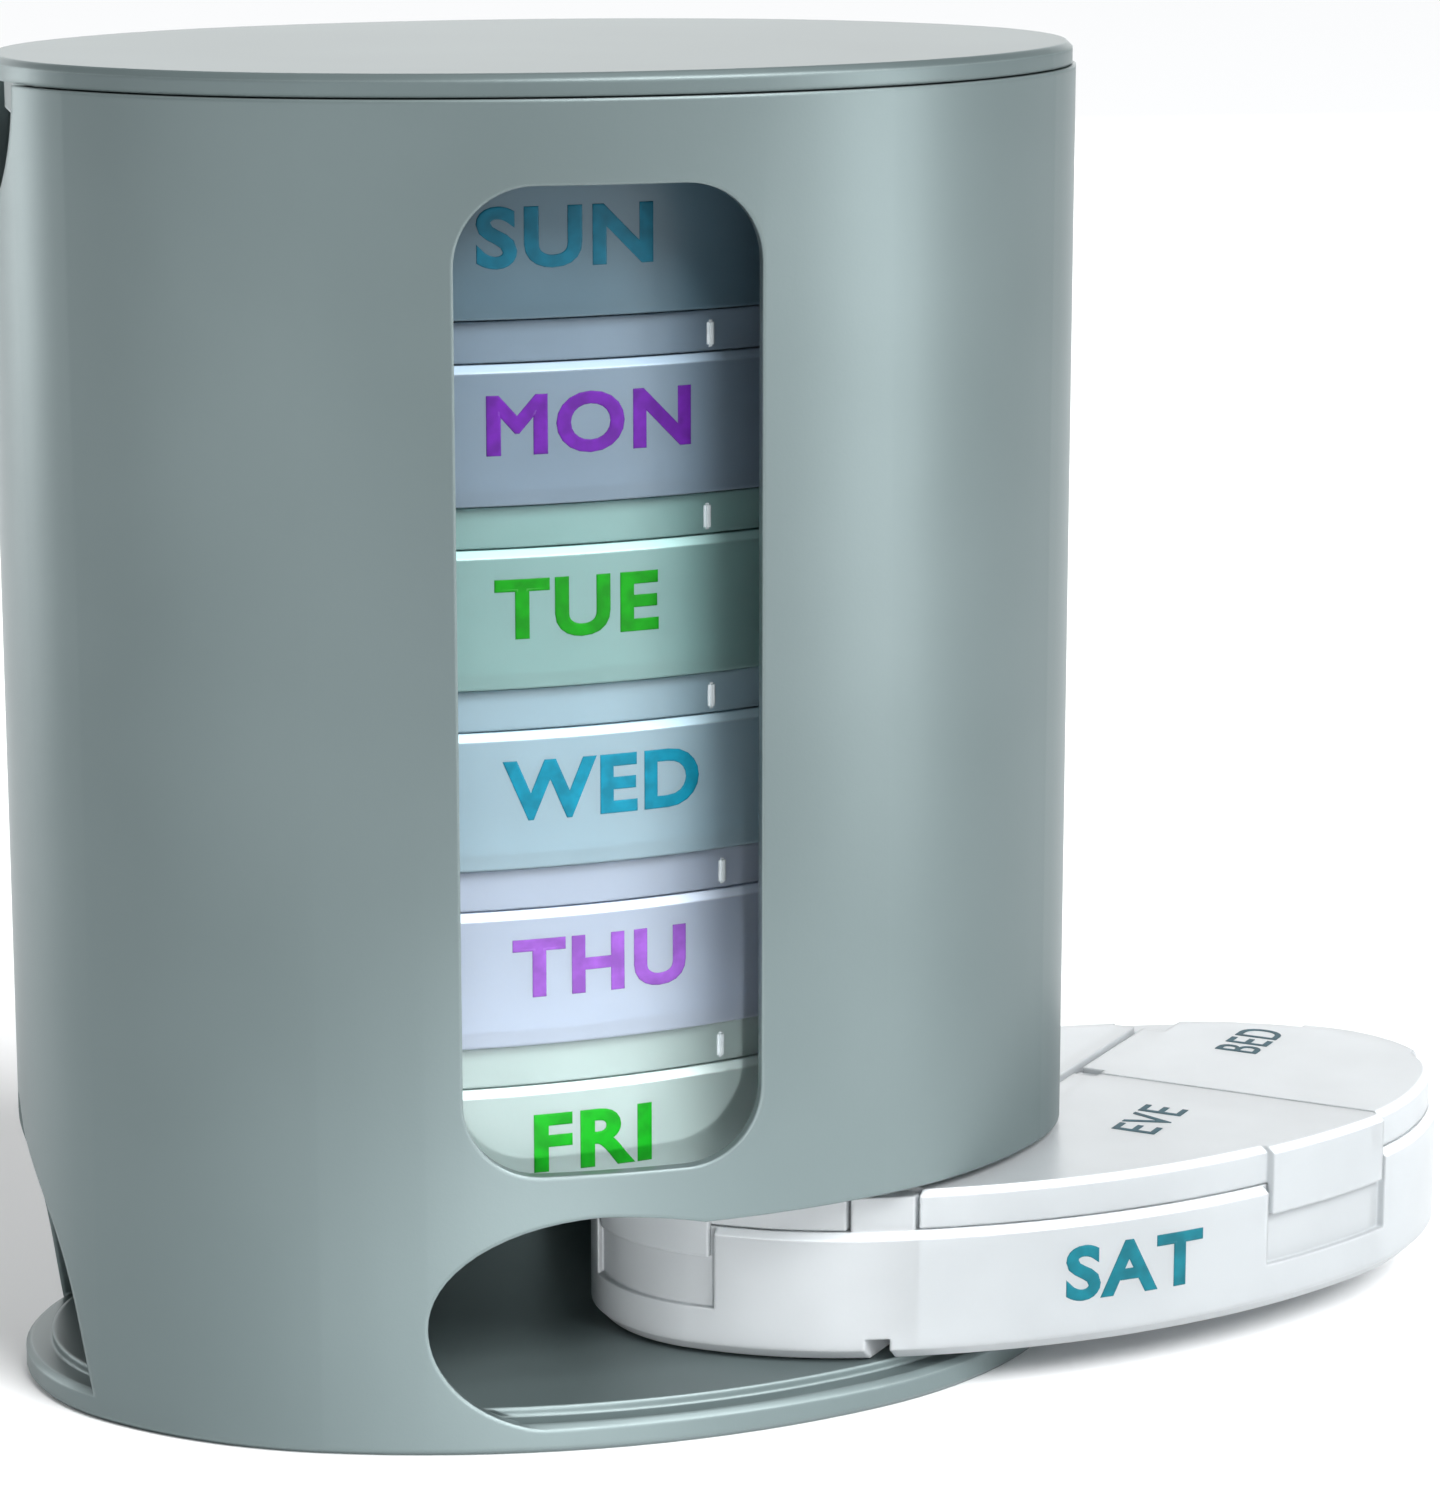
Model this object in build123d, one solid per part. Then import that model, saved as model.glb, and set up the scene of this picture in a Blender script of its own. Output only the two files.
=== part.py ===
from build123d import *
import math
import os

# A pill organizer for a week: an oval tower with a lift-off lid holds a stack of seven
# oval trays, one for each day. Every tray has a slanting spine with four hinged lids.
# The bottom tray stands half pulled out of the exit at the tower's right end.
# The frame is the tower's: X along its long axis towards the exit, Y to the back, Z up,
# with the origin on the tower's axis at the surface that it stands on. Lengths are in mm.

# Ovals are made of tangent arcs, which hand over at these directions, in degrees.
# The shoulders have the radius that an ellipse of the same size has half way along them.
# Hollows and lids that the tower hides are plain: straight-sided, with corners on the arcs.
tip_turn = 40.0
side_turn = 70.0
plain_corner_shares = (0, 1 / 3, 2 / 3)

# Tower body
tower_half_length = 60.8
tower_half_width = 39.2
tower_wall = 1.6
head_room = 4.05
base_edge_chamfer = 0.6
ring_height = 3.3
ring_edge_chamfer = 0.6
floor_height = 4.4
floor_inset = 3.0

# Window in the front wall, through which the days show
window_half_width = 16.5
window_above_exit = 6.4
window_below_top = 8.9
window_corner = 8.5

# Exit for the bottom tray, from the front opening round the right end to the back
exit_room = 0.95
arch_apex_x = -1.0
arch_rise = 1.5
arch_end_x = 10.0
arch_bulge = 0.25
arch_left_x = -20.5
arch_depth = 12.1
arch_foot_length = 15.3
arch_foot_depth = 12.1
back_exit_x = 24.0
back_exit_corner = 7.0

# Cut-outs in the left end: a finger notch under the lid and an open foot
notch_half_width = 10.0
notch_depth = 14.4
foot_half_width = 17.0
foot_height = 30.8
foot_width_shares = (0.86, 0.75, 0.57, 0.36, 0.14)
foot_height_shares = (0.35, 0.52, 0.68, 0.80, 0.92)

# Tower lid
lid_seat_gap = 0.2
lid_plate = 2.4
lid_edge_inset = 0.4
lid_edge_chamfer = 0.7
plug_clearance = 0.2
plug_wall = 1.4
plug_above_trays = 0.4

# Trays: an oval box, turned a little inside the tower
days = ("sat", "fri", "thu", "wed", "tue", "mon", "sun")
tray_end_room = 4.4
tray_side_room = 7.4
tray_play = 0.4
stack_gap = 0.3
slide_gap = 0.3
pulled_out = 57.7
rim_height = 15.0
lid_height = 4.55
rim_edge_chamfer = 0.8
tray_wall = 1.8
tray_floor = 1.3
tray_edge_chamfer = 1.3
divider_wall = 1.2
divider_offset = 15.0

# Spine that carries the hinges, and its open slot underneath
spine_angle = 37.0
spine_half_width = 3.0
spine_slot_width = 2.4
spine_slot_depth = 2.6
end_ear_length = 2.0
mid_ear_length = 2.4
ear_drop = 0.6
ear_gap = 0.2
hinge_offset = 1.6
hinge_drop = 1.6
knuckle_reach = 1.0
pin_radius = 0.7
pin_clearance = 0.05
pin_length = 0.9

# Tray lids
band_inset = 0.9
skirt_wall = 1.0
skirt_gap = 0.2
lid_panel = 1.1
lid_gap = 0.5
lid_top_chamfer = 0.7

# Clasps: a tab of each lid that hangs in a recess of the tray's wall
tab_wall = 0.75
tab_drop = 8.0
tab_gap = 0.15
recess_bottom = 5.5
recess_side_gap = 0.7
front_tab_start = -3.7
front_tab_end = 14.4
front_tab_inner = 20.0
tip_tab_start = 18.0
tip_tab_end = 34.0
tip_tab_inner = 30.0

# One overrun serves every cut
overrun = 1.0

# Sizes that follow from the ones above
tray_half_length = tower_half_length - tower_wall - tray_end_room
tray_half_width = tower_half_width - tower_wall - tray_side_room
tray_height = rim_height + lid_height
tray_pitch = tray_height + stack_gap
tray_reach = tray_half_length + overrun
first_tray_z = floor_height + slide_gap
stack_top = first_tray_z + len(days) * tray_pitch - stack_gap
body_height = stack_top + head_room
lid_underside = body_height + lid_seat_gap
tower_height = lid_underside + lid_plate
plug_bottom = stack_top + plug_above_trays
exit_top = first_tray_z + tray_height + exit_room
arch_apex_z = exit_top + arch_rise
arch_left_z = arch_apex_z - arch_depth
window_bottom = exit_top + window_above_exit
window_top = body_height - window_below_top
ring_foot = ring_height - ring_edge_chamfer
foot_top = ring_foot + foot_height
hinge_z = tray_height - hinge_drop
ear_top = tray_height - ear_drop
panel_bottom = tray_height - lid_panel
skirt_bottom = rim_height + skirt_gap
tab_bottom = tray_height - tab_drop
mid_ear_start = divider_offset - mid_ear_length / 2
mid_ear_end = divider_offset + mid_ear_length / 2
knuckle_start = hinge_offset - knuckle_reach
knuckle_bottom = hinge_z - knuckle_reach

# A tray is turned until it all but meets the wall: an ellipse that turns inside a larger one
end_slack = (tower_half_length - tower_wall - tray_play) ** 2 - tray_half_length ** 2
side_slack = (tower_half_width - tower_wall - tray_play) ** 2 - tray_half_width ** 2
flatness = tray_half_length ** 2 - tray_half_width ** 2
skew_sine = math.sqrt(end_slack * side_slack / (flatness * (flatness + end_slack - side_slack)))
tray_skew = math.degrees(math.asin(skew_sine))


def oval_arcs(half_length, half_width, inset):
    """The arcs of an inset oval in turn: round tips, shoulders and long sides."""
    shoulder_middle = math.radians((tip_turn + side_turn) / 2)
    shoulder_radius = (half_length * half_width) ** 2 / (
        (half_length * math.cos(shoulder_middle)) ** 2
        + (half_width * math.sin(shoulder_middle)) ** 2) ** 1.5
    tip_cos, tip_sin = math.cos(math.radians(tip_turn)), math.sin(math.radians(tip_turn))
    side_cos, side_sin = math.cos(math.radians(side_turn)), math.sin(math.radians(side_turn))
    length_left = half_length - shoulder_radius * (tip_cos - side_cos)
    width_left = half_width - shoulder_radius * (side_sin - tip_sin)
    divisor = side_cos * tip_sin - (1 - tip_cos) * (1 - side_sin)
    tip_radius = (width_left * side_cos - length_left * (1 - side_sin)) / divisor
    side_radius = (length_left * tip_sin - width_left * (1 - tip_cos)) / divisor
    tip_x = half_length - tip_radius
    side_y = half_width - side_radius
    shoulder_x = tip_x + (tip_radius - shoulder_radius) * tip_cos
    shoulder_y = (tip_radius - shoulder_radius) * tip_sin
    arcs = []
    for sign, turn in ((1, 0), (-1, 180)):
        arcs.append(CenterArc((sign * tip_x, 0), tip_radius - inset, turn - tip_turn, 2 * tip_turn))
        arcs.append(CenterArc((sign * shoulder_x, sign * shoulder_y), shoulder_radius - inset,
                              turn + tip_turn, side_turn - tip_turn))
        arcs.append(CenterArc((0, sign * side_y), side_radius - inset,
                              turn + side_turn, 180 - 2 * side_turn))
        arcs.append(CenterArc((-sign * shoulder_x, sign * shoulder_y), shoulder_radius - inset,
                              turn + 180 - side_turn, side_turn - tip_turn))
    return arcs


def oval(half_length, half_width, inset, plain):
    """A flat oval of arcs or, if plain, the straight-sided one with its corners on them."""
    arcs = oval_arcs(half_length, half_width, inset)
    if not plain:
        return make_face(arcs)
    corners = [arc @ share for arc in arcs for share in plain_corner_shares]
    return make_face(Polyline(*corners, close=True))


def tower_oval(inset, low, high, plain=False):
    """An upright oval cylinder, inset from the tower's outside, between two heights."""
    outline = oval(tower_half_length, tower_half_width, inset, plain)
    return Pos(0, 0, low) * extrude(outline, high - low)


def side_cut(profile, towards):
    """A cut through one side wall, from a profile drawn in the XZ plane."""
    reach = tower_half_width + overrun
    drawn = Plane.XZ * profile
    return extrude(drawn, -towards * reach)


def exit_profile_front():
    """The exit's outline in the front wall: a flat top, then an arch with a round end."""
    right = tower_half_length + overrun
    foot_x = arch_left_x + arch_foot_length
    low_z = arch_left_z - arch_foot_depth
    middle_x = (arch_apex_x + arch_end_x) / 2
    middle_z = (arch_apex_z + exit_top) / 2 + arch_bulge
    arch = ThreePointArc((arch_end_x, exit_top), (middle_x, middle_z), (arch_apex_x, arch_apex_z))
    shoulder = EllipticalCenterArc((arch_apex_x, arch_left_z), arch_apex_x - arch_left_x,
                                   arch_apex_z - arch_left_z, 90, arc_size=90)
    foot = EllipticalCenterArc((foot_x, arch_left_z), arch_foot_length, arch_foot_depth,
                               180, arc_size=90)
    floor_line = Line((foot_x, low_z), (right, low_z))
    end_line = Line((right, low_z), (right, exit_top))
    top_line = Line((right, exit_top), (arch_end_x, exit_top))
    outline = make_face([arch, shoulder, foot, floor_line, end_line, top_line])
    above_ring = Pos(0, ring_foot + tower_half_width) * Rectangle(
        2 * (tower_half_length + 2 * overrun), 2 * tower_half_width)
    return outline & above_ring


def exit_profile_back():
    """The exit's outline in the back wall, with one round corner."""
    length = tower_half_length + overrun - back_exit_x
    height = exit_top - ring_foot
    plain = Pos(back_exit_x + length / 2, ring_foot + height / 2) * Rectangle(length, height)
    corner = plain.vertices().sort_by(Axis.Y)[2:].sort_by(Axis.X)[0]
    return fillet(corner, back_exit_corner)


def window_cut():
    """The window: a tall slot with round corners through the front wall."""
    height = window_top - window_bottom
    slot = RectangleRounded(2 * window_half_width, height, window_corner)
    return side_cut(Pos(0, window_bottom + height / 2) * slot, -1)


def notch_cut():
    """The finger notch at the top of the left wall, half an oval deep."""
    drawn = Plane.YZ * Pos(0, body_height) * Ellipse(notch_half_width, notch_depth)
    return extrude(drawn, -(tower_half_length + overrun))


def foot_cut():
    """The open foot of the left wall: wide at the ring and drawn in to a round top."""
    height = foot_top - ring_foot
    right = [(foot_half_width * w, ring_foot + height * h)
             for w, h in zip(foot_width_shares, foot_height_shares)]
    left = [(-y, z) for y, z in reversed(right)]
    start = (foot_half_width, ring_foot)
    end = (-foot_half_width, ring_foot)
    outline = make_face([Spline(start, *right, (0, foot_top), *left, end), Line(end, start)])
    return extrude(Plane.YZ * outline, -(tower_half_length + overrun))


def make_tower_body():
    """The body: oval wall, base ring and the floor that the bottom tray slides on."""
    wall = tower_oval(0, 0, body_height) - tower_oval(tower_wall, -overrun, body_height + overrun)
    wall -= side_cut(exit_profile_front(), -1)
    wall -= side_cut(exit_profile_back(), 1)
    wall -= window_cut()
    wall -= notch_cut()
    wall -= foot_cut()
    ring = tower_oval(0, 0, ring_height)
    ring = chamfer(ring.edges().group_by(Axis.Z)[-1], ring_edge_chamfer)
    body = wall + ring + tower_oval(floor_inset, 0, floor_height)
    return chamfer(body.edges().group_by(Axis.Z)[0], base_edge_chamfer)


def make_tower_lid():
    """The lift-off lid: a flat oval plate with a plug ring inside the wall."""
    plate = tower_oval(lid_edge_inset, lid_underside, tower_height)
    plate = chamfer(plate.edges().group_by(Axis.Z)[-1], lid_edge_chamfer)
    outside = tower_wall + plug_clearance
    plug = tower_oval(outside, plug_bottom, lid_underside, plain=True)
    plug -= tower_oval(outside + plug_wall, plug_bottom - overrun, lid_underside, plain=True)
    return plate + plug


def tray_oval(inset, low, high, plain=False):
    """An upright oval cylinder, inset from a tray's outside, between two heights."""
    outline = oval(tray_half_length, tray_half_width, inset, plain)
    return Pos(0, 0, low) * extrude(outline, high - low)


def end_ear_start():
    """How far along the spine its end ears begin, to close their holes where the wall slants in."""
    outline = oval(tray_half_length, tray_half_width, band_inset, plain=False)
    hole_side = hinge_offset + pin_radius + pin_clearance
    rays = [Rot(0, 0, spine_angle) * Line((0, y), (tray_reach, y)) for y in (-hole_side, hole_side)]
    return min((outline & ray).edge().length for ray in rays) - end_ear_length


def block(along, across, heights):
    """A box in the spine's directions: along it, across it to its right, and up."""
    size = [high - low for low, high in (along, across, heights)]
    middle = [(high + low) / 2 for low, high in (along, across, heights)]
    return Rot(0, 0, spine_angle) * Pos(middle[0], -middle[1], middle[2]) * Box(*size)


def rod(start, end, radius):
    """A round rod on the right-hand hinge axis, between two places along the spine."""
    middle = (start + end) / 2
    place = Rot(0, 0, spine_angle) * Pos(middle, -hinge_offset, hinge_z) * Rot(0, 90, 0)
    return place * Cylinder(radius, end - start)


def both_sides(shape):
    """A shape of the spine's right side, and its twin turned half round to the left side."""
    return [shape, Rot(0, 0, 180) * shape]


def tab_windows(extra, heights):
    """The places of the two clasps on the spine's right side, each a block."""
    front = block((front_tab_start - extra, front_tab_end + extra),
                  (front_tab_inner, tray_reach), heights)
    tip = block((tip_tab_inner, tray_reach),
                (tip_tab_start - extra, tip_tab_end + extra), heights)
    return front, tip


def make_tray_box(covered):
    """A tray's box: four compartments round the spine, with ears for the hinge pins.

    A covered tray stands in the stack: its foot and its wall stay plain, without ears.
    """
    above = rim_height + overrun
    box = tray_oval(0, 0, rim_height)
    box = chamfer(box.edges().group_by(Axis.Z)[-1], rim_edge_chamfer)
    if not covered:
        box = chamfer(box.edges().group_by(Axis.Z)[0], tray_edge_chamfer)
    hollow = tray_oval(tray_wall, tray_floor, above, plain=covered)
    near = block((-tray_reach, divider_offset - divider_wall / 2),
                 (spine_half_width, tray_reach), (tray_floor, above))
    far = block((divider_offset + divider_wall / 2, tray_reach),
                (spine_half_width, tray_reach), (tray_floor, above))
    for compartment in both_sides(hollow & near) + both_sides(hollow & far):
        box -= compartment
    if covered:
        return box
    box -= block((-tray_reach, tray_reach), (-spine_slot_width / 2, spine_slot_width / 2),
                 (-overrun, spine_slot_depth))
    band = tray_oval(-overrun, recess_bottom, above) - tray_oval(
        tab_wall + tab_gap, recess_bottom, above)
    front_window, tip_window = tab_windows(recess_side_gap, (recess_bottom, above))
    for recess in both_sides(band & front_window) + both_sides(band & tip_window):
        box -= recess
    ear_band = tray_oval(band_inset, rim_height, ear_top)
    end_ear = ear_band & block((end_ear_start(), tray_reach),
                               (-spine_half_width, spine_half_width), (rim_height, ear_top))
    mid_ear = block((mid_ear_start, mid_ear_end), (ear_gap, spine_half_width),
                    (rim_height, ear_top))
    for ear in both_sides(end_ear) + both_sides(mid_ear):
        box += ear
    hole_end = end_ear_start() + ear_gap + pin_length
    return box - rod(-hole_end, hole_end, pin_radius + pin_clearance)


def lid_shell(along, cylinder, plain):
    """A lid's hollow shell with a thick knuckle along its hinge, cut from an oval cylinder."""
    shell = cylinder & block(along, (knuckle_start, tray_reach), (skirt_bottom, tray_height))
    inner_along = (along[0] + skirt_wall, along[1] - skirt_wall)
    hollow = tray_oval(band_inset + skirt_wall, skirt_bottom, panel_bottom, plain)
    shell -= hollow & block(inner_along, (spine_half_width, tray_reach),
                            (skirt_bottom, panel_bottom))
    return shell - block((-tray_reach, tray_reach), (0, spine_half_width - skirt_wall),
                         (rim_height, knuckle_bottom))


def make_lid(along, window):
    """A lid that shows: a shell with rounded edges, a clasp tab and room for the ears."""
    panel, flush = [
        chamfer(cylinder.edges().group_by(Axis.Z)[-1], lid_top_chamfer)
        for cylinder in (tray_oval(inset, skirt_bottom, tray_height) for inset in (band_inset, 0))]
    shoulder = flush - tray_oval(band_inset + skirt_wall, skirt_bottom, tray_height)
    tab = tray_oval(0, tab_bottom, skirt_bottom) - tray_oval(tab_wall, tab_bottom, skirt_bottom)
    lid = lid_shell(along, panel, plain=False) + (shoulder & window) + (tab & window)
    ear_start = end_ear_start() - ear_gap
    for low, high in ((-tray_reach, -ear_start), (ear_start, tray_reach),
                      (mid_ear_start - ear_gap, mid_ear_end + ear_gap)):
        lid -= block((low, high), (-spine_half_width, spine_half_width + lid_gap),
                     (rim_height, tray_height + overrun))
    return lid


def make_covered_lid(along, plain):
    """A lid that lies under the next tray, without tab, pins or room for ears."""
    return lid_shell(along, tray_oval(band_inset, skirt_bottom, tray_height, plain), plain=True)


def make_tray_lids(covered):
    """The four lids of a tray, by name, from two shapes and their twins.

    The two on the spine's right side, which show on the bottom tray, have their hinge pins.
    Of a covered tray's lids, only the front one shows in the window.
    """
    long_along = (-tray_reach, divider_offset - lid_gap / 2)
    short_along = (divider_offset + lid_gap / 2, tray_reach)
    if covered:
        eve = make_covered_lid(long_along, plain=False)
        morn = both_sides(make_covered_lid(long_along, plain=True))[1]
        bed, noon = both_sides(make_covered_lid(short_along, plain=True))
    else:
        front_window, tip_window = tab_windows(0, (0, tray_height))
        eve, morn = both_sides(make_lid(long_along, front_window))
        bed, noon = both_sides(make_lid(short_along, tip_window))
        pin_end = end_ear_start() - ear_gap + pin_length
        eve += rod(-pin_end, mid_ear_start - ear_gap + pin_length, pin_radius)
        bed += rod(mid_ear_end + ear_gap - pin_length, pin_end, pin_radius)
    return {"morn": morn, "noon": noon, "eve": eve, "bed": bed}


def write(shape, name):
    """Write one piece to its own file and say how large it is."""
    shape.label = name
    export_step(shape, os.path.join("parts", name + ".step"))
    print(name, "volume", round(shape.volume), "faces", len(shape.faces()))


def main():
    os.makedirs("parts", exist_ok=True)
    write(make_tower_body(), "tower_body")
    write(make_tower_lid(), "tower_lid")
    trays = {covered: (make_tray_box(covered), make_tray_lids(covered))
             for covered in (False, True)}
    for level, day in enumerate(days):
        tray_box, tray_lids = trays[level > 0]
        out = 0 if level > 0 else pulled_out
        place = Pos(out, 0, first_tray_z + level * tray_pitch) * Rot(0, 0, tray_skew)
        write(place * tray_box, "tray_box_" + day)
        for time, lid in tray_lids.items():
            write(place * lid, "lid_" + day + "_" + time)


main()
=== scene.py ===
import math

import bmesh
import bpy
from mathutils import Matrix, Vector


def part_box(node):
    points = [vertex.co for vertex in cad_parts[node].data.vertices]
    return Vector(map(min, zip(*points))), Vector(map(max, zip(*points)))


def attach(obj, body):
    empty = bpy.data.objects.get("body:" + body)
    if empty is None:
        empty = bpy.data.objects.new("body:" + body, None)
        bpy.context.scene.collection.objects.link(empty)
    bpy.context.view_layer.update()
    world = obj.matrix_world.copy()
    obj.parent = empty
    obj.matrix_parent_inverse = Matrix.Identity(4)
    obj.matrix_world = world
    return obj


# A weekly pill organizer: a satin tower with a stack of frosted trays. Lengths are in metres,
# colours are 8-bit sRGB.
MM = 0.001

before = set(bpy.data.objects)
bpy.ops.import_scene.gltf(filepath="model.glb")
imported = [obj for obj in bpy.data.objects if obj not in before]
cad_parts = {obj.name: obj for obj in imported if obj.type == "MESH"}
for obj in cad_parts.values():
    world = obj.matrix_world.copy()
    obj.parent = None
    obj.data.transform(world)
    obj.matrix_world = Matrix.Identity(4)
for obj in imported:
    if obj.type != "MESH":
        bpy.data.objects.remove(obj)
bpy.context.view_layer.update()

DAYS = ("sat", "fri", "thu", "wed", "tue", "mon", "sun")
TIMES = ("morn", "noon", "eve", "bed")

# The trays' shape, as the solids have it
tray_half_length = 54.8 * MM
tray_half_width = 30.2 * MM
tip_turn = math.radians(40)
side_turn = math.radians(70)
shoulder_middle = (tip_turn + side_turn) / 2
tray_shoulder_radius = (tray_half_length * tray_half_width) ** 2 / (
    (tray_half_length * math.cos(shoulder_middle)) ** 2
    + (tray_half_width * math.sin(shoulder_middle)) ** 2) ** 1.5
tray_skew = math.radians(12.85)
spine_turn = tray_skew + math.radians(37)

# How often the search for a place on a tray's wall halves its range
search_steps = 40

# The printed words: their thickness, how the font draws them in its own units, where the swell
# makes letters bolder, and how finely their meshes are cut to follow a curved wall
ink_thickness = 0.06 * MM
letter_extrude = 0.01
letter_spacing = 1.1
letter_smoothness = 5
label_swell = 0.034
word_swell = 0.004
weld_distance = 0.001 * MM
longest_edge = 0.9 * MM
edge_splits = 3

# The days' names: where each starts and ends along the tray, in millimetres, and its ink
LABELS = {
    "sun": (-13.0, 6.5, (8, 107, 133)),
    "mon": (-12.1, 10.8, (103, 29, 158)),
    "tue": (-11.4, 7.0, (2, 153, 7)),
    "wed": (-10.7, 11.7, (3, 142, 172)),
    "thu": (-9.8, 10.1, (151, 91, 198)),
    "fri": (-7.6, 6.0, (4, 165, 21)),
    "sat": (-4.2, 13.2, (4, 118, 134)),
}
label_bottom = 5.3 * MM
label_height = 6.6 * MM

# The words on the lids, in the spine's directions from the tray's middle: along the spine,
# across it to its right, and the word's length, in millimetres. MORN and NOON are their twins
# turned half round.
LID_WORDS = {"eve": (-5.3, 13.4, 10.8), "bed": (31.4, 11.9, 10.6)}
LID_TWINS = {"morn": "eve", "noon": "bed"}
word_height = 5.4 * MM
WORD_INK = (12, 78, 92)

# The share of an ink's listed colour that it keeps, and that its darker clouds keep of that
ink_depth = 0.7

# The clasps' edges, short upright bars on the stacked lids: their places along the tray in
# millimetres, their whiter colour, which is a painted highlight, and their shape
RIB_PLACES = {"sun": 13.6, "mon": 13.6, "tue": 13.2, "wed": 13.7, "thu": 15.0, "fri": 14.8}
RIB_HIGHLIGHT_TONES = ((214, 224, 228), (228, 236, 240))
rib_width = 0.9 * MM
rib_bottom = 15.6 * MM
rib_top = 18.5 * MM
rib_inset = 0.6 * MM
rib_depth = 0.8 * MM
rib_bevel = 0.25 * MM

# The tower's and its lid's plastic: darker and lighter clouds, and a painted highlight along edges
TOWER_CLOUDS_AND_EDGE_HIGHLIGHT = ((94, 107, 108), (99, 112, 113), (120, 133, 134))
LID_CLOUDS_AND_EDGE_HIGHLIGHT = ((91, 104, 105), (96, 109, 110), (128, 141, 142))
satin_roughness = 0.4
satin_sheen = 0.45
satin_clouds = 40 * MM

# The trays' frosted plastic. Each tint holds painted shade: the trays are one plastic, and the
# tints grow darker towards the top of the stack, where less light reaches it.
SHADED_TINTS = {
    "sun": (104, 134, 150),
    "mon": (142, 164, 182),
    "tue": (154, 194, 192),
    "wed": (176, 205, 218),
    "thu": (194, 208, 226),
    "fri": (196, 216, 214),
    "sat": (213, 218, 221),
}
frosted_roughness = 0.32
frosted_ior = 1.45
frosted_clearness = 0.55
frosted_clouds = 12 * MM
scatter_share = 0.2
scatter_depth = 2 * MM

# How much lighter than its tint a tray is in its clouds, and in the painted highlights along its
# edges and on its rims. The bottom tray's rims face the light squarely, so they get painted shade
# instead.
cloud_lift = -6
edge_highlight_lift = 22
rim_highlight_lift = 18
low_rim_shade_lift = -20

# The inks and the clasps' edges
ink_roughness = 0.5
ink_gloss = 0.2
ink_clouds = 2 * MM
clasp_roughness = 0.3
clasp_clouds = 2 * MM

# Fine grain of each finish, and the radius of its softened edges
SATIN_GRAIN = {"size": 0.35 * MM, "strength": 0.12, "edge": 0.6 * MM}
FROSTED_GRAIN = {"size": 0.5 * MM, "strength": 0.15, "edge": 0.5 * MM}
INK_GRAIN = {"size": 0.3 * MM, "strength": 0.1, "edge": 0.02 * MM}
CLASP_GRAIN = {"size": 0.3 * MM, "strength": 0.1, "edge": 0.1 * MM}
grain_detail = 3.0
grain_depth = 0.05 * MM
edge_samples = 6
cloud_detail = 2.0
cloud_ends = (0.35, 0.65)

# Where painted edge highlights start and are full, by the cosine between the soft and the plain
# normal
edge_highlight_start = 0.99
edge_highlight_full = 0.85

# A rim is a chamfer that looks up at 45 degrees, and carries the trays' painted rim light. Its
# mask starts where the normal's height is within rim_fade of rim_slope, and is full within
# rim_full.
rim_slope = math.sqrt(0.5)
rim_fade = 0.15
rim_full = 0.05

# Camera: distances and turns that match the photograph's view of the tower. The focal length
# and the picture's longer side are in the photograph's pixels.
camera_azimuth = math.radians(13.06)
camera_pitch = math.radians(12.67)
camera_distance = 553.5 * MM
aim_height = 70.0 * MM
aim_right = -20.06 * MM
focal_pixels = 4848
picture_pixels = 1500

# Studio: floor, background and lights, in metres and watts
floor_size = 40
floor_tone = (241, 242, 243)
floor_roughness = 0.6
fill_strength = 0.15
WHITE = (1.0, 1.0, 1.0, 1.0)
object_middle = (0.02, 0, 0.075)

# Soft boxes: place, aim, width and height, power
SOFT_BOXES = {
    "rim": ((-0.7, 0.45, 0.2), object_middle, (0.3, 0.6), 3.5),
    "back": ((0.1, 1.3, 0.55), object_middle, (2.0, 0.8), 9.5),
    "top": ((0, 0, 1.1), object_middle, (1.2, 1.2), 2.0),
    "strip": ((0.317, -0.243, 0.08), (0.02, 0, 0.07), (0.08, 0.34), 0.75),
    "left": ((-0.4, -0.446, 0.04), object_middle, (0.6, 0.08), 0.4),
}

# The key light, a broad sun, and a narrow spot that shines into the bottom tray's bay
key_direction = Vector((-0.354, 0.612, -0.707))
key_strength = 4.8
key_breadth = math.radians(34)
bay_place = Vector((-0.05, -0.95, 0.03))
bay_aim = Vector((0.0, 0, 0.01))
bay_power = 42.0
bay_breadth = math.radians(6)
bay_softness = 0.03


def linear(rgb):
    """A linear colour from an 8-bit one."""
    shares = [c / 255 for c in rgb]
    return [s / 12.92 if s <= 0.04045 else ((s + 0.055) / 1.055) ** 2.4 for s in shares] + [1.0]


def lifted(rgb, lift):
    """A linear colour from an 8-bit one that is first made lighter, or darker, by some steps."""
    return linear([min(255, c + lift) for c in rgb])


def set_inputs(node, **values):
    """Constants on a node's own sockets; an underscore stands for a space."""
    for name, value in values.items():
        node.inputs[name.replace("_", " ")].default_value = value


def add_node(tree, kind, **values):
    """A new shader node with constants on its sockets."""
    node = tree.nodes.new("ShaderNode" + kind)
    set_inputs(node, **values)
    return node


def new_material(name):
    """A node material, its tree and its surface shader."""
    material = bpy.data.materials.new(name)
    material.use_nodes = True
    return material, material.node_tree, material.node_tree.nodes["Principled BSDF"]


def add_object(name, data):
    """A new object in the scene."""
    item = bpy.data.objects.new(name, data)
    bpy.context.scene.collection.objects.link(item)
    return item


def facing(direction):
    """The turn of a camera or light that looks along a direction."""
    return direction.to_track_quat("-Z", "Y").to_euler()


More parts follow.
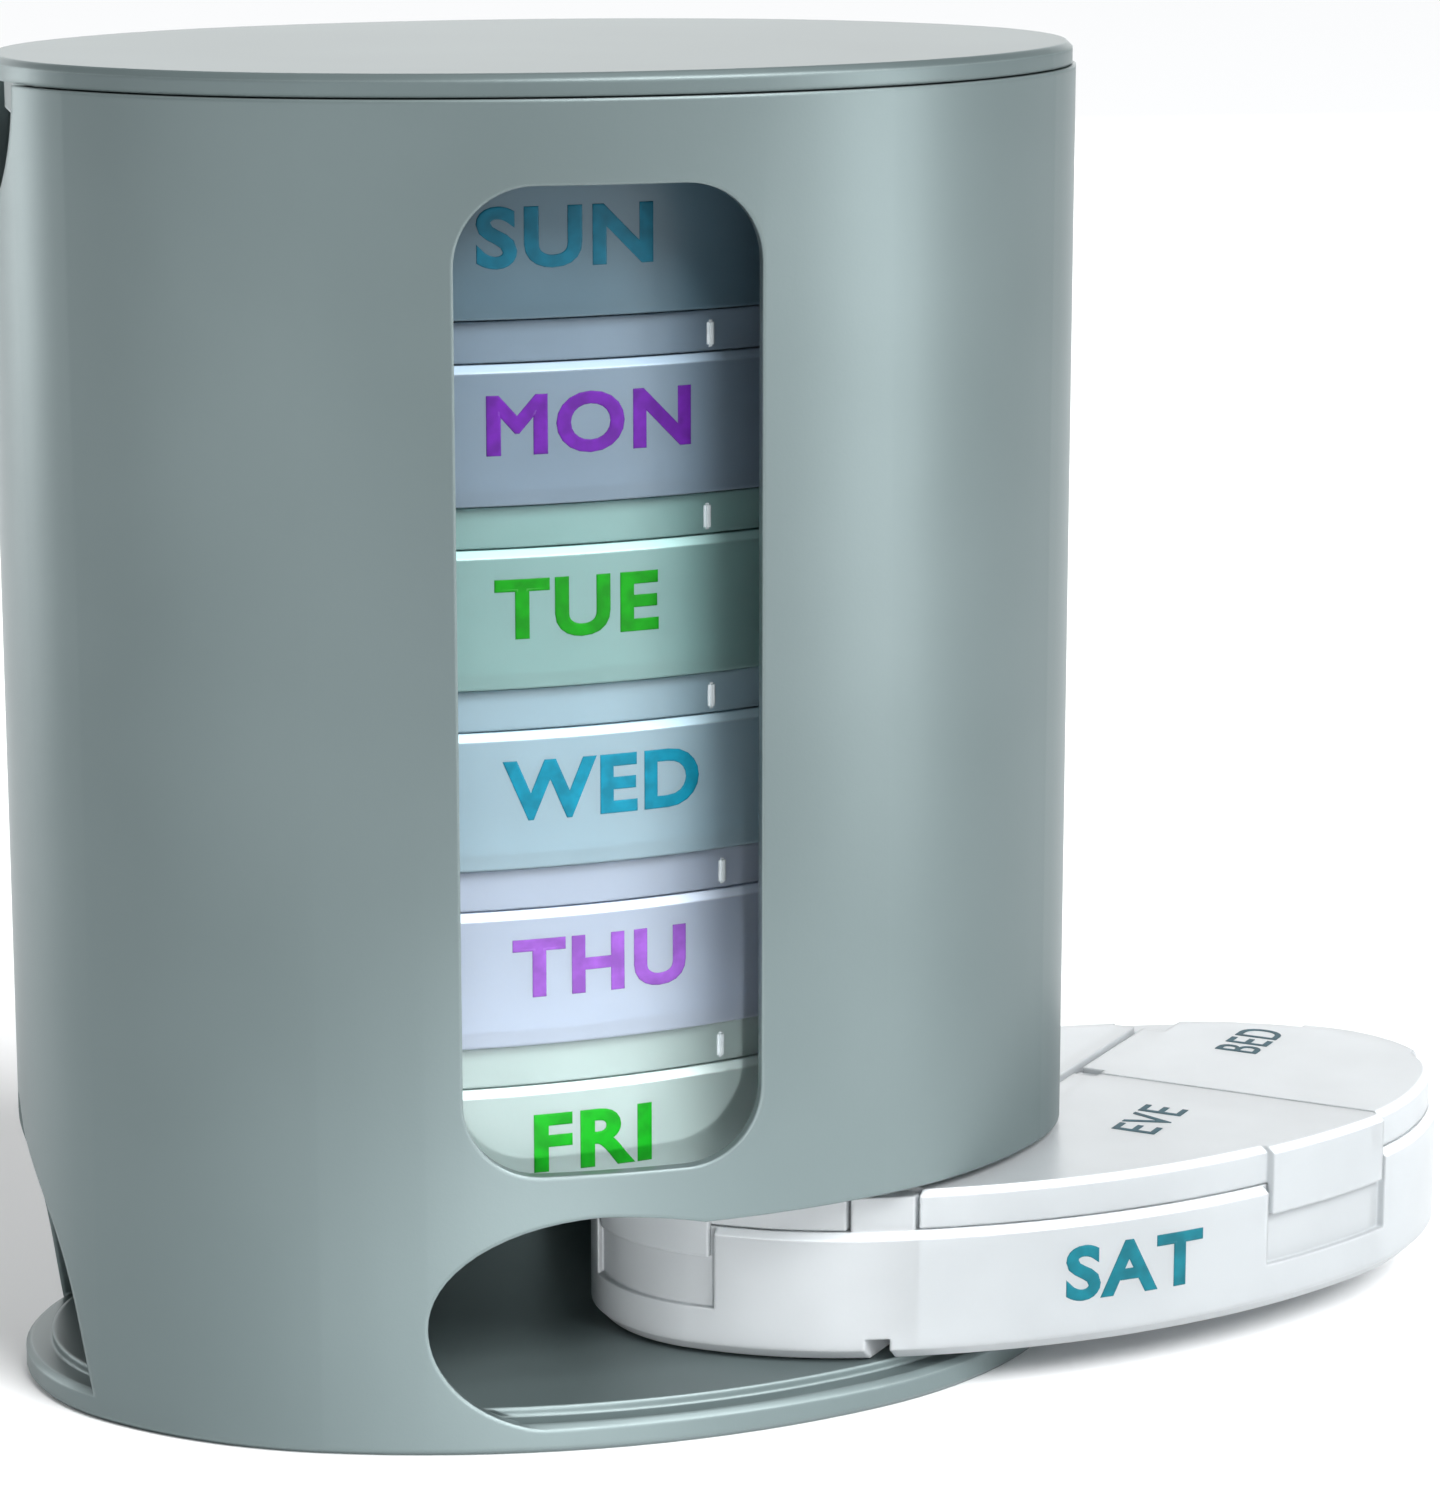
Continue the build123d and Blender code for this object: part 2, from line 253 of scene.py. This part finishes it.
def add_grain(tree, shader, size, strength, edge):
    """Fine moulded grain and softened edges, through the normal; gives the softened normal."""
    coords = add_node(tree, "TexCoord")
    noise = add_node(tree, "TexNoise", Scale=1 / size, Detail=grain_detail)
    bump = add_node(tree, "Bump", Strength=strength, Distance=grain_depth)
    bevel = add_node(tree, "Bevel", Radius=edge)
    bevel.samples = edge_samples
    tree.links.new(coords.outputs["Object"], noise.inputs["Vector"])
    tree.links.new(noise.outputs["Fac"], bump.inputs["Height"])
    tree.links.new(bevel.outputs["Normal"], bump.inputs["Normal"])
    tree.links.new(bump.outputs["Normal"], shader.inputs["Normal"])
    return bevel.outputs["Normal"]


def add_clouds(tree, low, high, size):
    """Soft clouds between two linear colours."""
    coords = add_node(tree, "TexCoord")
    noise = add_node(tree, "TexNoise", Scale=1 / size, Detail=cloud_detail)
    ramp = add_node(tree, "ValToRGB")
    for stop, place, colour in zip(ramp.color_ramp.elements, cloud_ends, (low, high)):
        stop.position = place
        stop.color = colour
    tree.links.new(coords.outputs["Object"], noise.inputs["Vector"])
    tree.links.new(noise.outputs["Fac"], ramp.inputs["Fac"])
    return ramp.outputs["Color"]


def add_mix(tree, share, colour, other):
    """Mixes a computed colour with a fixed one, by a computed share."""
    mix = add_node(tree, "Mix")
    mix.data_type = "RGBA"
    first, second = [s for s in mix.inputs if s.type == "RGBA"]
    second.default_value = other
    tree.links.new(share, mix.inputs["Factor"])
    tree.links.new(colour, first)
    return next(s for s in mix.outputs if s.type == "RGBA")


def add_edge_highlight(tree, shader, colour, soft_normal, highlight_colour):
    """A painted highlight along edges, where the softened normal leaves the surface's own."""
    geometry = add_node(tree, "NewGeometry")
    meeting = add_node(tree, "VectorMath")
    meeting.operation = "DOT_PRODUCT"
    spread = add_node(tree, "MapRange", From_Min=edge_highlight_start, From_Max=edge_highlight_full)
    tree.links.new(geometry.outputs["Normal"], meeting.inputs[0])
    tree.links.new(soft_normal, meeting.inputs[1])
    tree.links.new(meeting.outputs["Value"], spread.inputs["Value"])
    tree.links.new(add_mix(tree, spread.outputs["Result"], colour, highlight_colour),
                   shader.inputs["Base Color"])


def add_rim_mask(tree):
    """A mask that is 1 on chamfers that look up at 45 degrees, such as a tray's rim, for its
    painted light.
    """
    geometry = add_node(tree, "NewGeometry")
    split = add_node(tree, "SeparateXYZ")
    off = add_node(tree, "Math")
    off.operation = "SUBTRACT"
    off.inputs[1].default_value = rim_slope
    size = add_node(tree, "Math")
    size.operation = "ABSOLUTE"
    spread = add_node(tree, "MapRange", From_Min=rim_fade, From_Max=rim_full)
    tree.links.new(geometry.outputs["True Normal"], split.inputs["Vector"])
    tree.links.new(split.outputs["Z"], off.inputs[0])
    tree.links.new(off.outputs["Value"], size.inputs[0])
    tree.links.new(size.outputs["Value"], spread.inputs["Value"])
    return spread.outputs["Result"]


def satin_plastic(name, clouds_and_highlight):
    """The tower's satin grey-green plastic, with a pearly sheen and a painted highlight along
    edges.
    """
    dark, light, edge = [linear(tone) for tone in clouds_and_highlight]
    material, tree, shader = new_material(name)
    set_inputs(shader, Roughness=satin_roughness, Metallic=satin_sheen)
    soft_normal = add_grain(tree, shader, **SATIN_GRAIN)
    add_edge_highlight(tree, shader, add_clouds(tree, dark, light, satin_clouds), soft_normal, edge)
    return material


def frosted_plastic(name, shaded_tint, lift):
    """Translucent milky plastic with a tint that holds painted shade, a painted highlight along
    its edges, and opaque rims with painted light from the lift: a highlight when it is positive,
    shade when negative.
    """
    material, tree, shader = new_material(name)
    set_inputs(shader, Roughness=frosted_roughness, IOR=frosted_ior,
               Subsurface_Weight=scatter_share, Subsurface_Scale=scatter_depth,
               Subsurface_Radius=(1.0, 1.0, 1.0))
    soft_normal = add_grain(tree, shader, **FROSTED_GRAIN)
    clouds = add_clouds(tree, lifted(shaded_tint, cloud_lift), linear(shaded_tint), frosted_clouds)
    rim = add_rim_mask(tree)
    colour = add_mix(tree, rim, clouds, lifted(shaded_tint, lift))
    add_edge_highlight(tree, shader, colour, soft_normal, lifted(shaded_tint, edge_highlight_lift))
    clear = add_node(tree, "MapRange", To_Min=frosted_clearness, To_Max=0.0)
    tree.links.new(rim, clear.inputs["Value"])
    tree.links.new(clear.outputs["Result"], shader.inputs["Transmission Weight"])
    return material


def ink(name, rgb):
    """Printed ink, a little uneven."""
    material, tree, shader = new_material(name)
    set_inputs(shader, Roughness=ink_roughness, Specular_IOR_Level=ink_gloss)
    deep = [v * ink_depth for v in linear(rgb)[:3]] + [1.0]
    darker = [v * ink_depth for v in deep[:3]] + [1.0]
    tree.links.new(add_clouds(tree, darker, deep, ink_clouds), shader.inputs["Base Color"])
    add_grain(tree, shader, **INK_GRAIN)
    return material


def clasp_highlight_plastic(name):
    """A whiter plastic for a clasp's edge, as a painted highlight."""
    low, high = [linear(tone) for tone in RIB_HIGHLIGHT_TONES]
    material, tree, shader = new_material(name)
    set_inputs(shader, Roughness=clasp_roughness)
    tree.links.new(add_clouds(tree, low, high, clasp_clouds), shader.inputs["Base Color"])
    add_grain(tree, shader, **CLASP_GRAIN)
    return material


def oval_arcs():
    """Centres and radii of a tray's tip, shoulder and side arcs, in its first quarter."""
    tip_cos, tip_sin = math.cos(tip_turn), math.sin(tip_turn)
    side_cos, side_sin = math.cos(side_turn), math.sin(side_turn)
    length_left = tray_half_length - tray_shoulder_radius * (tip_cos - side_cos)
    width_left = tray_half_width - tray_shoulder_radius * (side_sin - tip_sin)
    divisor = side_cos * tip_sin - (1 - tip_cos) * (1 - side_sin)
    tip = (width_left * side_cos - length_left * (1 - side_sin)) / divisor
    side = (length_left * tip_sin - width_left * (1 - tip_cos)) / divisor
    tip_x = tray_half_length - tip
    shoulder = (tip_x + (tip - tray_shoulder_radius) * tip_cos,
                (tip - tray_shoulder_radius) * tip_sin)
    return ((tip_x, 0), tip), (shoulder, tray_shoulder_radius), ((0, tray_half_width - side), side)


def wall_point(x):
    """The point and normal of a tray's front wall at a place along the tower.

    All are in the tower's directions and counted from the tray's middle.
    """
    tip, shoulder, side = oval_arcs()
    low, high = -math.pi, 0.0
    cos_skew, sin_skew = math.cos(tray_skew), math.sin(tray_skew)
    for _ in range(search_steps):
        turn = (low + high) / 2
        from_axis = math.asin(abs(math.sin(turn)))
        if from_axis < tip_turn:
            centre, radius = tip
        elif from_axis < side_turn:
            centre, radius = shoulder
        else:
            centre, radius = side
        u = math.copysign(centre[0], math.cos(turn)) + radius * math.cos(turn)
        v = -centre[1] + radius * math.sin(turn)
        here_x = u * cos_skew - v * sin_skew
        here_y = u * sin_skew + v * cos_skew
        if here_x < x:
            low = turn
        else:
            high = turn
    normal = Vector((math.cos(turn + tray_skew), math.sin(turn + tray_skew), 0))
    return Vector((here_x, here_y, 0)), normal


def text_mesh(name, words, width, height, swell):
    """A text as a thin solid, fitted to a width and height, its low left corner at the origin."""
    curve = bpy.data.curves.new(name, "FONT")
    curve.body = words
    curve.extrude = letter_extrude
    curve.bevel_depth = swell
    curve.bevel_resolution = 1
    curve.space_character = letter_spacing
    curve.resolution_u = letter_smoothness
    holder = add_object(name, curve)
    depsgraph = bpy.context.evaluated_depsgraph_get()
    mesh = bpy.data.meshes.new_from_object(holder.evaluated_get(depsgraph))
    bpy.data.objects.remove(holder)
    spans = [(min(values), max(values)) for values in zip(*(v.co for v in mesh.vertices))]
    goals = ((0, width), (0, height), (-ink_thickness, ink_thickness))
    for v in mesh.vertices:
        v.co = [start + (value - low) / (high - low) * (end - start)
                for value, (low, high), (start, end) in zip(v.co, spans, goals)]
    return mesh


def lay_print(mesh, place):
    """Lays a thin text on a surface: each point goes where place(x, y) says."""
    work = bmesh.new()
    work.from_mesh(mesh)
    bmesh.ops.remove_doubles(work, verts=work.verts[:], dist=weld_distance)
    bmesh.ops.triangulate(work, faces=work.faces[:])
    for _ in range(edge_splits):
        long_edges = [e for e in work.edges if e.calc_length() > longest_edge]
        bmesh.ops.subdivide_edges(work, edges=long_edges, cuts=1)
        bmesh.ops.triangulate(work, faces=work.faces[:])
    for v in work.verts:
        spot, normal = place(v.co.x, v.co.y)
        v.co = spot + normal * v.co.z
    work.to_mesh(mesh)
    work.free()
    return mesh


def add_piece(name, mesh, material, body):
    """A new piece that rides on a body."""
    mesh.materials.clear()
    mesh.materials.append(material)
    piece = add_object(name, mesh)
    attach(piece, body)


def tray_middle(day):
    """The middle of a tray's underside."""
    low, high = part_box("tray_box_" + day)
    return Vector(((low.x + high.x) / 2, (low.y + high.y) / 2, low.z))


def add_day_label(day, material):
    """The day's name on the front wall of its tray."""
    start, end, _ = LABELS[day]
    middle = tray_middle(day)
    mesh = text_mesh("label_" + day, day.upper(), (end - start) * MM, label_height, label_swell)

    def place(x, y):
        point, normal = wall_point(start * MM + x)
        return middle + point + Vector((0, 0, label_bottom + y)), normal

    add_piece("label_" + day, lay_print(mesh, place), material, "tray_" + day)


def add_lid_word(day, time, material):
    """The time of day on a lid, read along the spine."""
    node = "lid_%s_%s" % (day, time)
    body = "lid_sat_bed" if node == "lid_sat_bed" else "tray_" + day
    along, across, length = LID_WORDS[LID_TWINS.get(time, time)]
    middle = tray_middle(day)
    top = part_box(node)[1].z
    turn = spine_turn + (math.pi if time in LID_TWINS else 0)
    forward = Vector((math.cos(turn), math.sin(turn), 0))
    right = Vector((math.sin(turn), -math.cos(turn), 0))
    mesh = text_mesh("word_" + node, time.upper(), length * MM, word_height, word_swell)

    def place(x, y):
        flat = forward * (along * MM + x) + right * (across * MM + word_height - y)
        return Vector((middle.x + flat.x, middle.y + flat.y, top)), Vector((0, 0, 1))

    add_piece("word_" + node, lay_print(mesh, place), material, body)


def add_rib(day, material):
    """The edge of the clasp on the front of a stacked tray's lid."""
    point, normal = wall_point(RIB_PLACES[day] * MM)
    along = Vector((-normal.y, normal.x, 0))
    height = rib_top - rib_bottom
    centre = tray_middle(day) + point - normal * (rib_inset + rib_depth / 2)
    centre.z += rib_bottom + height / 2
    work = bmesh.new()
    bmesh.ops.create_cube(work, size=1)
    for v in work.verts:
        v.co = Vector((v.co.x * rib_width, v.co.y * rib_depth, v.co.z * height))
    bmesh.ops.bevel(work, geom=work.edges[:], offset=rib_bevel, segments=2, affect="EDGES")
    for v in work.verts:
        v.co = centre + along * v.co.x + normal * v.co.y + Vector((0, 0, v.co.z))
    mesh = bpy.data.meshes.new("rib_" + day)
    work.to_mesh(mesh)
    work.free()
    add_piece("rib_" + day, mesh, material, "tray_" + day)


def dress_solids():
    """Gives every solid its finish."""
    finishes = {"tower_body": satin_plastic("tower_satin", TOWER_CLOUDS_AND_EDGE_HIGHLIGHT),
                "tower_lid": satin_plastic("tower_lid_satin", LID_CLOUDS_AND_EDGE_HIGHLIGHT)}
    for day in DAYS:
        # Painted highlight on the stacked trays' rims, painted shade on the bottom tray's rims.
        lift = low_rim_shade_lift if day == "sat" else rim_highlight_lift
        frosted = frosted_plastic("frosted_" + day, SHADED_TINTS[day], lift)
        finishes["tray_box_" + day] = frosted
        for time in TIMES:
            finishes["lid_%s_%s" % (day, time)] = frosted
    for name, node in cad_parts.items():
        node.data.materials.clear()
        node.data.materials.append(finishes[name])


def add_words_and_ribs():
    """All printed words, and the clasps' edges on the stacked trays."""
    word_ink = ink("ink_words", WORD_INK)
    for day in DAYS:
        add_day_label(day, ink("ink_" + day, LABELS[day][2]))
        for time in TIMES:
            add_lid_word(day, time, word_ink)
    clasp_highlight = clasp_highlight_plastic("clasp_edge_highlight")
    for day in RIB_PLACES:
        add_rib(day, clasp_highlight)


def add_camera():
    """The camera, at the photograph's viewing angle."""
    level = math.cos(camera_pitch)
    forward = Vector((math.sin(camera_azimuth) * level, math.cos(camera_azimuth) * level,
                      -math.sin(camera_pitch)))
    right = Vector((math.cos(camera_azimuth), -math.sin(camera_azimuth), 0))
    data = bpy.data.cameras.new("camera")
    data.lens = data.sensor_width * (focal_pixels / picture_pixels)
    camera = add_object("camera", data)
    camera.location = Vector((0, 0, aim_height)) - camera_distance * forward - aim_right * right
    camera.rotation_euler = facing(forward)
    bpy.context.scene.camera = camera


def add_floor():
    """A plain pale floor."""
    bpy.ops.mesh.primitive_plane_add(size=floor_size, location=(0, 0, 0))
    floor = bpy.context.object
    floor.name = "floor"
    material, _, shader = new_material("floor")
    set_inputs(shader, Roughness=floor_roughness, Base_Color=linear(floor_tone))
    floor.data.materials.append(material)


def add_background():
    """A plain white background that lights the object only dimly."""
    world = bpy.data.worlds.new("studio")
    bpy.context.scene.world = world
    world.use_nodes = True
    tree = world.node_tree
    dim = tree.nodes["Background"]
    set_inputs(dim, Color=WHITE, Strength=fill_strength)
    pale = add_node(tree, "Background", Color=WHITE)
    path = add_node(tree, "LightPath")
    choice = add_node(tree, "MixShader")
    tree.links.new(path.outputs["Is Camera Ray"], choice.inputs["Fac"])
    tree.links.new(dim.outputs["Background"], choice.inputs[1])
    tree.links.new(pale.outputs["Background"], choice.inputs[2])
    tree.links.new(choice.outputs["Shader"], tree.nodes["World Output"].inputs["Surface"])


def add_lights():
    """Soft boxes around the object, a broad key light and a narrow spot into the bay."""
    for name, (place, aim, size, power) in SOFT_BOXES.items():
        data = bpy.data.lights.new(name, "AREA")
        data.shape = "RECTANGLE"
        data.size, data.size_y = size
        data.energy = power
        box = add_object(name, data)
        box.location = place
        box.rotation_euler = facing(Vector(aim) - Vector(place))
    bay = bpy.data.lights.new("bay", "SPOT")
    bay.energy = bay_power
    bay.spot_size = bay_breadth
    bay.spot_blend = 1.0
    bay.shadow_soft_size = bay_softness
    spot = add_object("bay", bay)
    spot.location = bay_place
    spot.rotation_euler = facing(bay_aim - bay_place)
    key = bpy.data.lights.new("key", "SUN")
    key.energy = key_strength
    key.angle = key_breadth
    add_object("key", key).rotation_euler = facing(key_direction)


dress_solids()
add_words_and_ribs()
add_camera()
add_floor()
add_background()
add_lights()
bpy.context.scene.view_settings.view_transform = "Standard"
